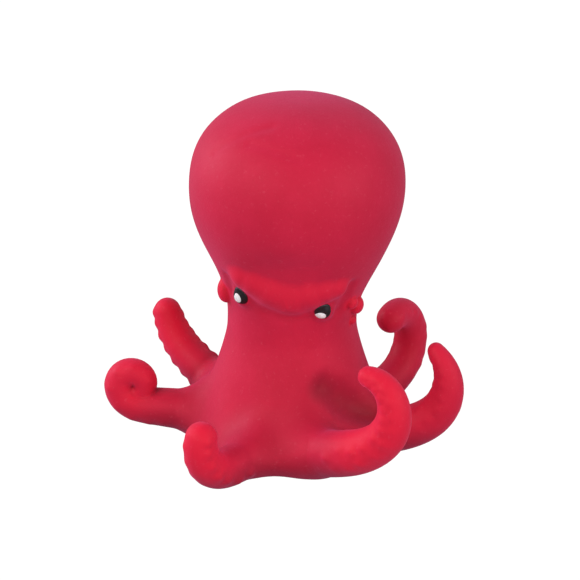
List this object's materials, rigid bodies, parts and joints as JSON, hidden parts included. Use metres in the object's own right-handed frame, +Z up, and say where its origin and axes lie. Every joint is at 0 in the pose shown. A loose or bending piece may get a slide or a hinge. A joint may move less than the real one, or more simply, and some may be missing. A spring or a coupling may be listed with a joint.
{
  "type": "octopus squeeze toy",
  "caption": "Soft filled octopus squeeze toy with a round nodding mantle, an angry brow and curling arms that lift and bend, standing on a flat base.",
  "frame": {"origin": "centre of the flat base, on the surface that the toy stands on", "axes": "+Z up through the mantle, -Y the way the face looks, +X to the right of the face as it is seen from the front"},
  "size_m": [0.1136, 0.1073, 0.1115],
  "materials": {
    "red_skin": "matt powdery soft rubber",
    "filling": "soft granular filling, never seen",
    "eye_black": "glossy black paint over a rubber bump",
    "eye_white": "glossy white paint"
  },
  "bodies": {
    "body": {"body_skin": "red_skin", "body_filling": "filling", "fill_plug": "red_skin"},
    "neck": {"neck_skin": "red_skin"},
    "head": {"mantle_skin": "red_skin", "mantle_filling": "filling", "eye_left": "eye_black", "eye_right": "eye_black", "eye_glint_left": "eye_white", "eye_glint_right": "eye_white"},
    "arm_front_left": {"arm_front_left_base": "red_skin"},
    "tip_front_left": {"arm_front_left_tip": "red_skin"},
    "arm_front_right": {"arm_front_right_base": "red_skin"},
    "tip_front_right": {"arm_front_right_tip": "red_skin"},
    "arm_right": {"arm_right_base": "red_skin"},
    "tip_right": {"arm_right_tip": "red_skin"},
    "arm_back_right": {"arm_back_right_base": "red_skin"},
    "tip_back_right": {"arm_back_right_tip": "red_skin"},
    "arm_rear_right": {"arm_rear_right_base": "red_skin"},
    "tip_rear_right": {"arm_rear_right_tip": "red_skin"},
    "arm_rear_left": {"arm_rear_left_base": "red_skin"},
    "tip_rear_left": {"arm_rear_left_tip": "red_skin"},
    "arm_back_left": {"arm_back_left_base": "red_skin"},
    "tip_back_left": {"arm_back_left_tip": "red_skin"},
    "arm_left": {"arm_left_base": "red_skin"},
    "tip_left": {"arm_left_tip": "red_skin"}
  },
  "joints": [
    {"name": "head_nod", "type": "hinge", "parent": "body", "child": "neck", "pos_m": [0, 0, 0.038], "axis": [1, 0, 0], "range_deg": [-14, 14], "stiffness_Nm_per_rad": 1.2},
    {"name": "head_sway", "type": "hinge", "parent": "neck", "child": "head", "pos_m": [0, 0, 0.038], "axis": [0, 1, 0], "range_deg": [-12, 12], "stiffness_Nm_per_rad": 1.2},
    {"name": "front_left_lift", "type": "hinge", "parent": "body", "child": "arm_front_left", "pos_m": [-0.01098, -0.0353, 0.00647], "axis": [-0.8572, 0.515, 0], "range_deg": [-10, 20], "stiffness_Nm_per_rad": 0.06},
    {"name": "front_left_curl", "type": "hinge", "parent": "arm_front_left", "child": "tip_front_left", "pos_m": [-0.01618, -0.04396, 0.00838], "axis": [-0.8572, 0.515, 0], "range_deg": [-30, 15], "stiffness_Nm_per_rad": 0.03},
    {"name": "front_right_lift", "type": "hinge", "parent": "body", "child": "arm_front_right", "pos_m": [0.02, -0.03233, 0.01125], "axis": [-0.51, -0.8601, 0], "range_deg": [-10, 20], "stiffness_Nm_per_rad": 0.06},
    {"name": "front_right_curl", "type": "hinge", "parent": "arm_front_right", "child": "tip_front_right", "pos_m": [0.03321, -0.03943, 0.01963], "axis": [-0.4331, -0.9013, 0], "range_deg": [-30, 15], "stiffness_Nm_per_rad": 0.03},
    {"name": "right_lift", "type": "hinge", "parent": "body", "child": "arm_right", "pos_m": [0.0368, -0.00746, 0.00866], "axis": [0.0036, -1, 0], "range_deg": [-10, 20], "stiffness_Nm_per_rad": 0.06},
    {"name": "right_curl", "type": "hinge", "parent": "arm_right", "child": "tip_right", "pos_m": [0.04819, -0.00844, 0.01753], "axis": [-0.1929, -0.9812, 0], "range_deg": [-30, 25], "stiffness_Nm_per_rad": 0.03},
    {"name": "back_right_lift", "type": "hinge", "parent": "body", "child": "arm_back_right", "pos_m": [0.02672, 0.02707, 0.00713], "axis": [0.8086, -0.5884, 0], "range_deg": [-10, 20], "stiffness_Nm_per_rad": 0.06},
    {"name": "back_right_curl", "type": "hinge", "parent": "arm_back_right", "child": "tip_back_right", "pos_m": [0.03266, 0.03601, 0.01582], "axis": [0.8616, -0.5075, 0], "range_deg": [-30, 8], "stiffness_Nm_per_rad": 0.03},
    {"name": "rear_right_lift", "type": "hinge", "parent": "body", "child": "arm_rear_right", "pos_m": [0.0013, 0.03714, 0.00652], "axis": [0.9994, -0.0349, 0], "range_deg": [-10, 20], "stiffness_Nm_per_rad": 0.06},
    {"name": "rear_right_curl", "type": "hinge", "parent": "arm_rear_right", "child": "tip_rear_right", "pos_m": [0.0017, 0.04871, 0.01336], "axis": [0.9994, -0.0349, 0], "range_deg": [-30, 20], "stiffness_Nm_per_rad": 0.03},
    {"name": "rear_left_lift", "type": "hinge", "parent": "body", "child": "arm_rear_left", "pos_m": [-0.01802, 0.03251, 0.00652], "axis": [0.8746, 0.4848, 0], "range_deg": [-10, 20], "stiffness_Nm_per_rad": 0.06},
    {"name": "rear_left_curl", "type": "hinge", "parent": "arm_rear_left", "child": "tip_rear_left", "pos_m": [-0.02326, 0.04197, 0.01411], "axis": [0.8746, 0.4848, 0], "range_deg": [-30, 15], "stiffness_Nm_per_rad": 0.03},
    {"name": "back_left_lift", "type": "hinge", "parent": "body", "child": "arm_back_left", "pos_m": [-0.03121, 0.0159, 0.01176], "axis": [0.454, 0.891, 0], "range_deg": [-10, 20], "stiffness_Nm_per_rad": 0.06},
    {"name": "back_left_curl", "type": "hinge", "parent": "arm_back_left", "child": "tip_back_left", "pos_m": [-0.03959, 0.02017, 0.01854], "axis": [0.454, 0.891, 0], "range_deg": [-25, 30], "stiffness_Nm_per_rad": 0.03},
    {"name": "left_lift", "type": "hinge", "parent": "body", "child": "arm_left", "pos_m": [-0.0373, -0.00438, 0.00736], "axis": [-0.0901, 0.9959, 0], "range_deg": [-10, 20], "stiffness_Nm_per_rad": 0.06},
    {"name": "left_curl", "type": "hinge", "parent": "arm_left", "child": "tip_left", "pos_m": [-0.04834, -0.00527, 0.00833], "axis": [-0.0701, 0.9975, 0], "range_deg": [-30, 2], "stiffness_Nm_per_rad": 0.03}
  ]
}
